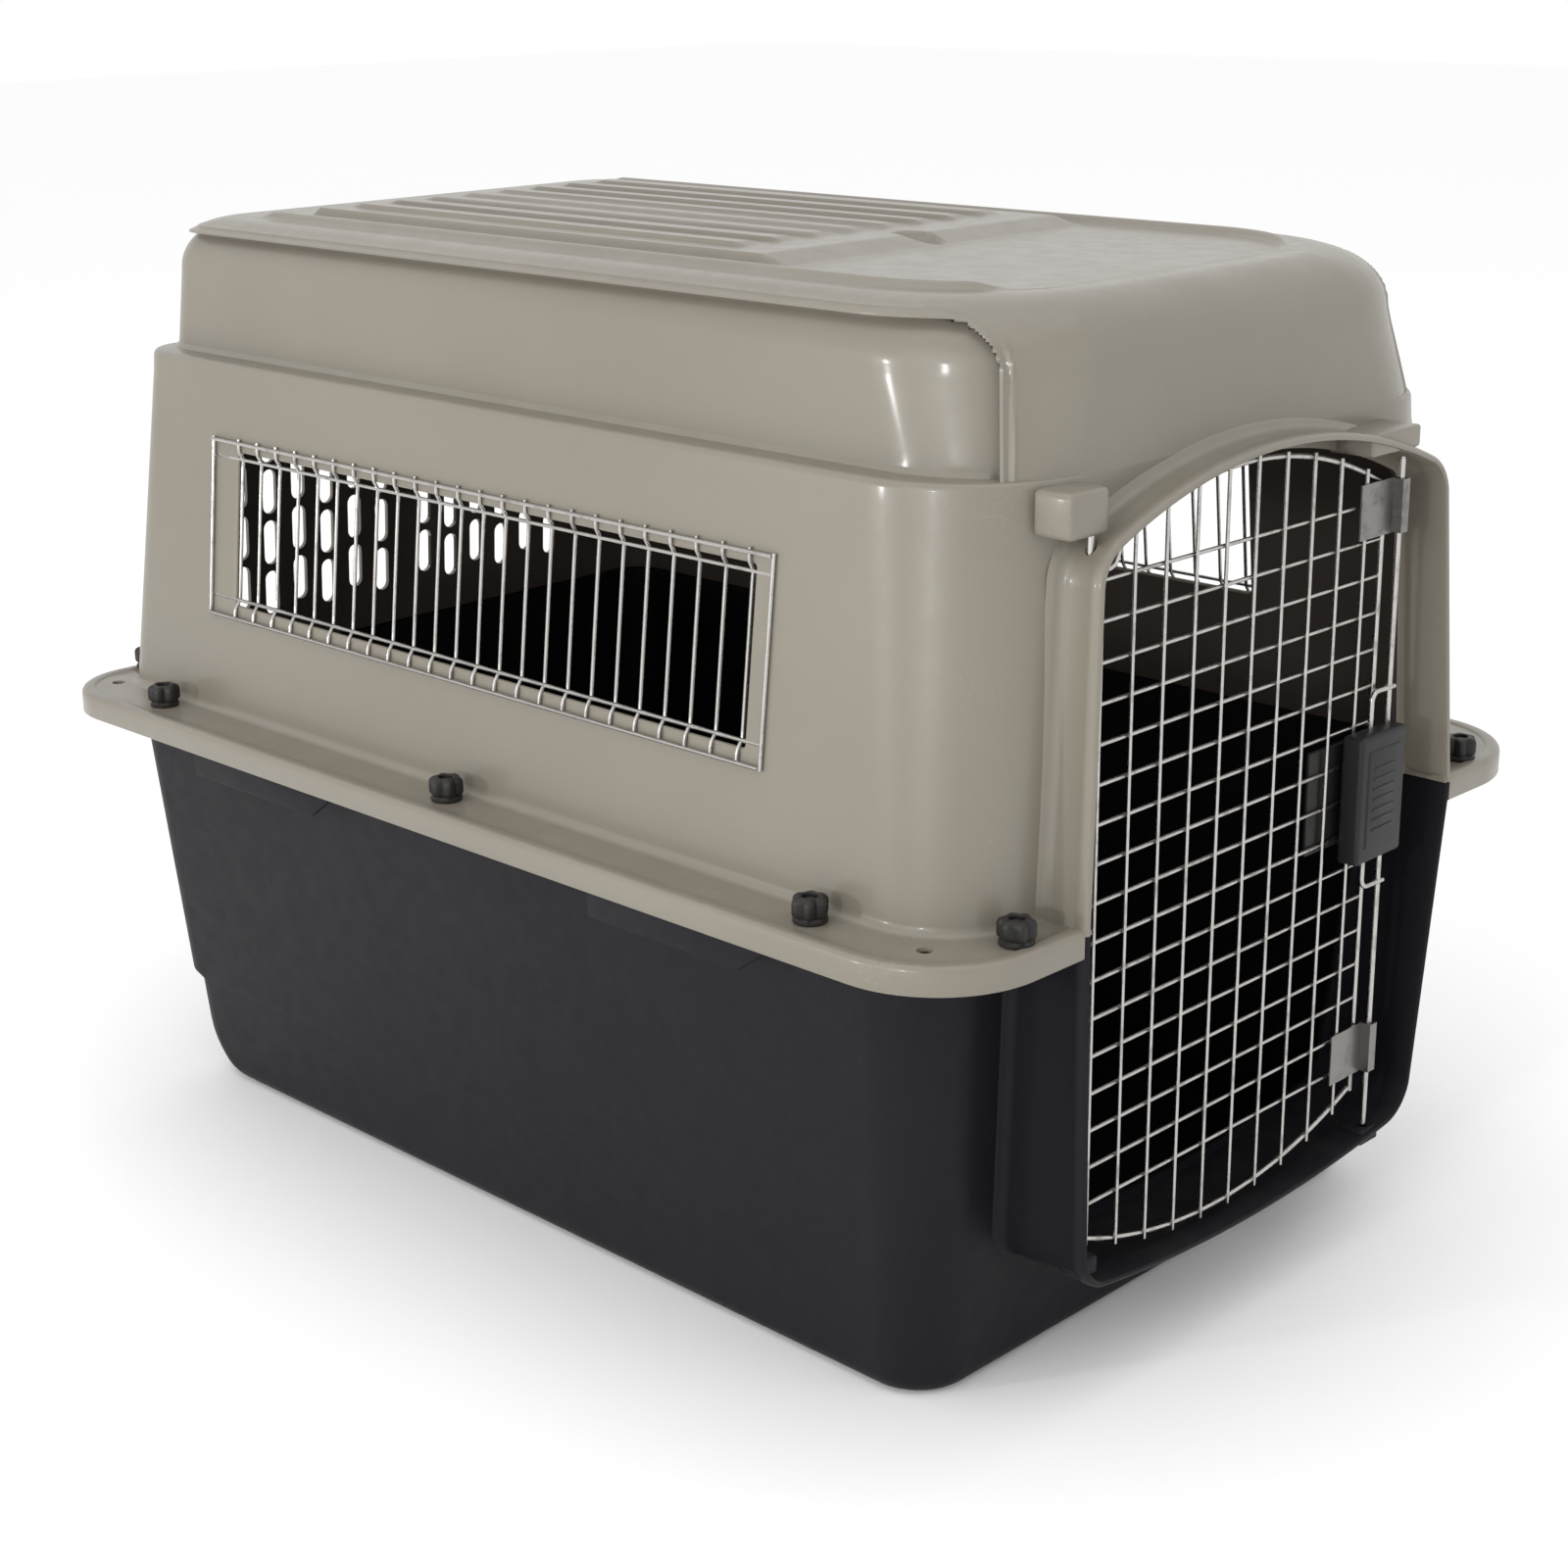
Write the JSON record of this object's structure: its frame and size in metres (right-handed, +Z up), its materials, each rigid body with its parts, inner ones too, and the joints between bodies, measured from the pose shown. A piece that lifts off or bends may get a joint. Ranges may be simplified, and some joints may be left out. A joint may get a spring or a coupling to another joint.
{
  "type": "pet transport carrier",
  "caption": "Two-part moulded pet carrier with a swinging wire door, a squeeze latch, side window grilles, rear vents and a flange closed by hand nuts.",
  "frame": {"origin": "on the floor, under the middle of the bounding box", "axes": "+X towards the door end, +Z up, so +Y is the left side seen from inside looking out of the door"},
  "size_m": [0.914, 0.635, 0.686],
  "materials": {
    "taupe_shell": "satin moulded polypropylene",
    "dark_shell": "satin moulded polypropylene",
    "black_nylon": "moulded nylon, slightly rough",
    "plated_wire": "bright zinc-plated welded wire"
  },
  "bodies": {
    "root": {"bottom_shell": "dark_shell", "top_shell": "taupe_shell", "left_window_grille": "plated_wire", "right_window_grille": "plated_wire", "flange_bolt_01": "black_nylon", "flange_bolt_02": "black_nylon", "flange_bolt_03": "black_nylon", "flange_bolt_04": "black_nylon", "flange_bolt_05": "black_nylon", "flange_bolt_06": "black_nylon", "flange_bolt_07": "black_nylon", "flange_bolt_08": "black_nylon", "flange_bolt_09": "black_nylon", "flange_bolt_10": "black_nylon", "hand_nut_01": "black_nylon", "hand_nut_02": "black_nylon", "hand_nut_03": "black_nylon", "hand_nut_04": "black_nylon", "hand_nut_05": "black_nylon", "hand_nut_06": "black_nylon", "hand_nut_07": "black_nylon", "hand_nut_08": "black_nylon", "hand_nut_09": "black_nylon", "hand_nut_10": "black_nylon"},
    "door": {"wire_door": "plated_wire", "latch_housing_front": "black_nylon", "latch_housing_back": "black_nylon", "upper_rod_guide": "plated_wire", "lower_rod_guide": "plated_wire", "upper_spring": "plated_wire", "lower_spring": "plated_wire"},
    "upper_bolt": {"upper_bolt": "plated_wire"},
    "lower_bolt": {"lower_bolt": "plated_wire"}
  },
  "joints": [
    {"name": "door_hinge", "type": "hinge", "parent": "root", "child": "door", "pos_m": [0.433, -0.172, 0.31], "axis": [0, 0, -1], "range_deg": [0, 100]},
    {"name": "upper_bolt_slide", "type": "slide", "parent": "door", "child": "upper_bolt", "axis": [0, 0, -1], "range_m": [-0.009, 0.012], "stiffness_N_per_m": 200, "springref_m": -0.001, "deforming": ["upper_spring"]},
    {"name": "lower_bolt_slide", "type": "slide", "parent": "door", "child": "lower_bolt", "axis": [0, 0, 1], "range_m": [-0.009, 0.012], "stiffness_N_per_m": 200, "springref_m": 0.001, "deforming": ["lower_spring"]}
  ]
}
